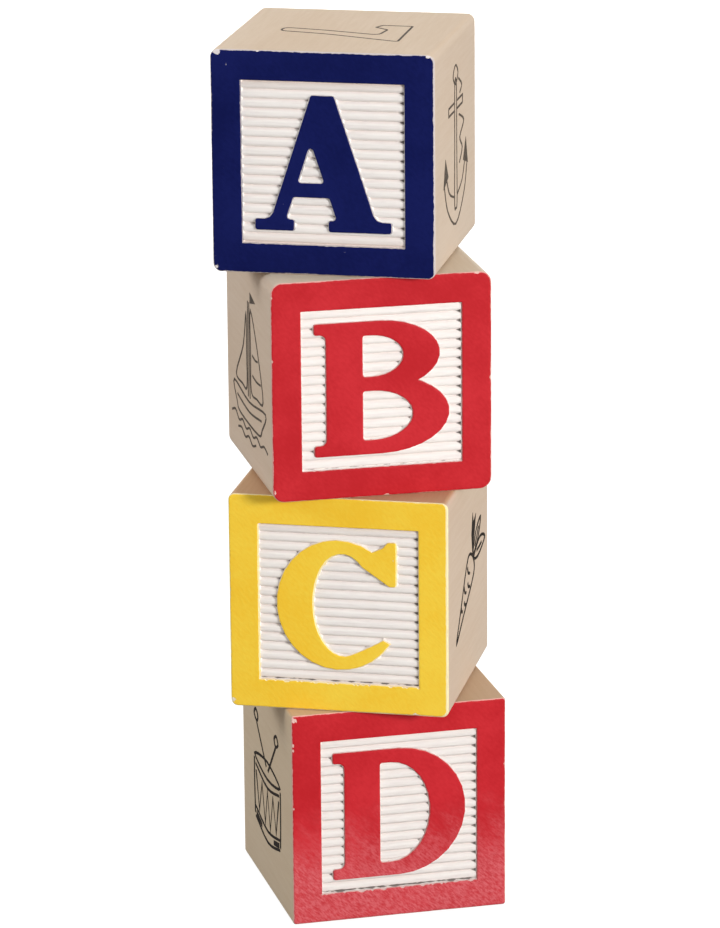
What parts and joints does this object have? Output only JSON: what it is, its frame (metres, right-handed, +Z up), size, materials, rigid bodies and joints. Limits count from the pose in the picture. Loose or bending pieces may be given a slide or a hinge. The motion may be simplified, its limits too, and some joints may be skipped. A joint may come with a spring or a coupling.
{
  "type": "alphabet block stack",
  "caption": "Stack of wooden alphabet blocks with raised painted letters on ribbed panels and printed line pictures; each block lifts off the one below.",
  "frame": {"origin": "centre of the bottom block's base, on the surface that the stack stands on", "axes": "+Z up the stack, -Y towards the viewer of the lettered front faces, +X to that viewer's right; the blocks are turned a few degrees to and fro about +Z"},
  "size_m": [0.0574, 0.0555, 0.1779],
  "materials": {
    "bare_wood": "bare sanded basswood, pale, fine even grain, matt",
    "white_ground": "matt white ground coat over machined ribs",
    "navy_paint": "satin navy paint, rolled on, worn pale at the edges",
    "red_paint": "satin red paint, rolled on, worn pale at the edges",
    "yellow_paint": "satin yellow paint, rolled on, worn pale at the edges",
    "black_ink": "matt black printing ink",
    "grey_ink": "matt brown-grey printing ink"
  },
  "bodies": {
    "block_d": {"block_d_body": "bare_wood", "block_d_front_border": "red_paint", "block_d_front_letter": "red_paint", "block_d_front_ground": "white_ground", "block_d_back_border": "red_paint", "block_d_back_letter": "red_paint", "block_d_back_ground": "white_ground", "block_d_left_picture": "black_ink", "block_d_right_picture": "black_ink", "block_d_top_number": "black_ink"},
    "block_c": {"block_c_body": "bare_wood", "block_c_front_border": "yellow_paint", "block_c_front_letter": "yellow_paint", "block_c_front_ground": "white_ground", "block_c_back_border": "yellow_paint", "block_c_back_letter": "yellow_paint", "block_c_back_ground": "white_ground", "block_c_left_picture": "black_ink", "block_c_right_picture": "black_ink", "block_c_top_number": "black_ink"},
    "block_b": {"block_b_body": "bare_wood", "block_b_front_border": "red_paint", "block_b_front_letter": "red_paint", "block_b_front_ground": "white_ground", "block_b_back_border": "red_paint", "block_b_back_letter": "red_paint", "block_b_back_ground": "white_ground", "block_b_left_picture": "grey_ink", "block_b_right_picture": "grey_ink", "block_b_top_number": "grey_ink"},
    "block_a": {"block_a_body": "bare_wood", "block_a_front_border": "navy_paint", "block_a_front_letter": "navy_paint", "block_a_front_ground": "white_ground", "block_a_back_border": "navy_paint", "block_a_back_letter": "navy_paint", "block_a_back_ground": "white_ground", "block_a_left_picture": "grey_ink", "block_a_right_picture": "grey_ink", "block_a_top_number": "grey_ink"}
  },
  "joints": [
    {"name": "lift_block_c", "type": "slide", "parent": "block_d", "child": "block_c", "axis": [0, 0, 1], "range_m": [0, 0.06]},
    {"name": "lift_block_b", "type": "slide", "parent": "block_c", "child": "block_b", "axis": [0, 0, 1], "range_m": [0, 0.06]},
    {"name": "lift_block_a", "type": "slide", "parent": "block_b", "child": "block_a", "axis": [0, 0, 1], "range_m": [0, 0.06]}
  ]
}
